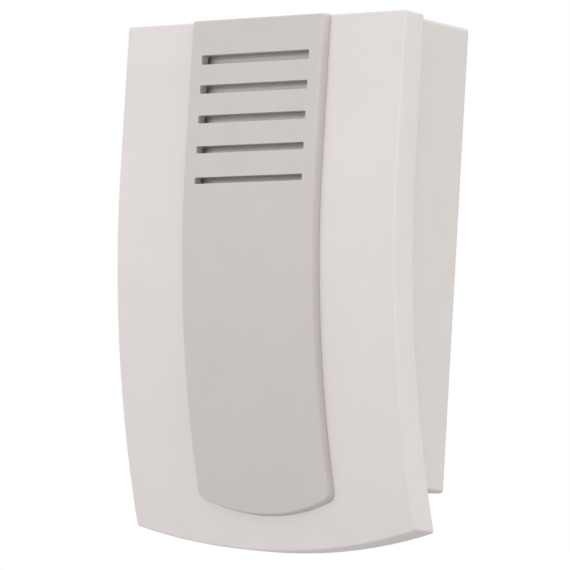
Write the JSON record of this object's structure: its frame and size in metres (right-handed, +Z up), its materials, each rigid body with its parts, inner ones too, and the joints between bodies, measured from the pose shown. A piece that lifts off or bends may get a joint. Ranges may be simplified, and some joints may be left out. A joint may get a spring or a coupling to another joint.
{
  "type": "doorbell chime box",
  "caption": "Wall-mounted doorbell chime: white tray, bowed white cover with a raised slotted grey strip, and a solenoid striker between two tone bars inside.",
  "frame": {"origin": "middle of the tray's flat back face, on the wall", "axes": "+Y into the wall, so the front looks along -Y; +Z up; +X to the right as seen from the room"},
  "size_m": [0.103, 0.033, 0.1502],
  "materials": {
    "white_tray": "fine satin moulded plastic",
    "white_cover": "semi-gloss moulded plastic",
    "grey_insert": "semi-gloss moulded plastic",
    "zinc_steel": "zinc plated sheet steel",
    "natural_nylon": "natural nylon",
    "coil_tape": "varnished copper winding under clear tape",
    "plunger_steel": "turned soft steel",
    "spring_steel": "drawn spring wire",
    "bar_steel": "rolled and nickel plated steel",
    "black_rubber": "soft moulded rubber",
    "screw_steel": "zinc plated screws",
    "block_plastic": "moulded terminal plastic",
    "clamp_brass": "turned brass",
    "red_lead": "wire sleeve",
    "black_lead": "wire sleeve"
  },
  "bodies": {
    "base": {"tray": "white_tray", "solenoid_yoke": "zinc_steel", "coil_bobbin": "natural_nylon", "coil_winding": "coil_tape", "return_spring_left": "spring_steel", "return_spring_right": "spring_steel", "tone_bar_low": "bar_steel", "tone_bar_high": "bar_steel", "bar_grommets": "black_rubber", "bar_pegs": "natural_nylon", "yoke_screws": "screw_steel", "terminal_block": "block_plastic", "terminal_clamps": "clamp_brass", "terminal_screws": "screw_steel", "block_screw": "screw_steel", "lead_left": "red_lead", "lead_right": "black_lead", "cable_grommet": "black_rubber"},
    "cover": {"front_cover": "white_cover", "grille_insert": "grey_insert"},
    "striker": {"plunger_core": "plunger_steel", "striker_left": "natural_nylon", "striker_right": "natural_nylon"}
  },
  "joints": [
    {"name": "cover_slide", "type": "slide", "parent": "base", "child": "cover", "axis": [0, -1, 0], "range_m": [0, 0.06]},
    {"name": "striker_slide", "type": "slide", "parent": "base", "child": "striker", "axis": [1, 0, 0], "range_m": [-0.0039, 0.0039], "stiffness_N_per_m": 60, "deforming": ["return_spring_left", "return_spring_right"]}
  ]
}
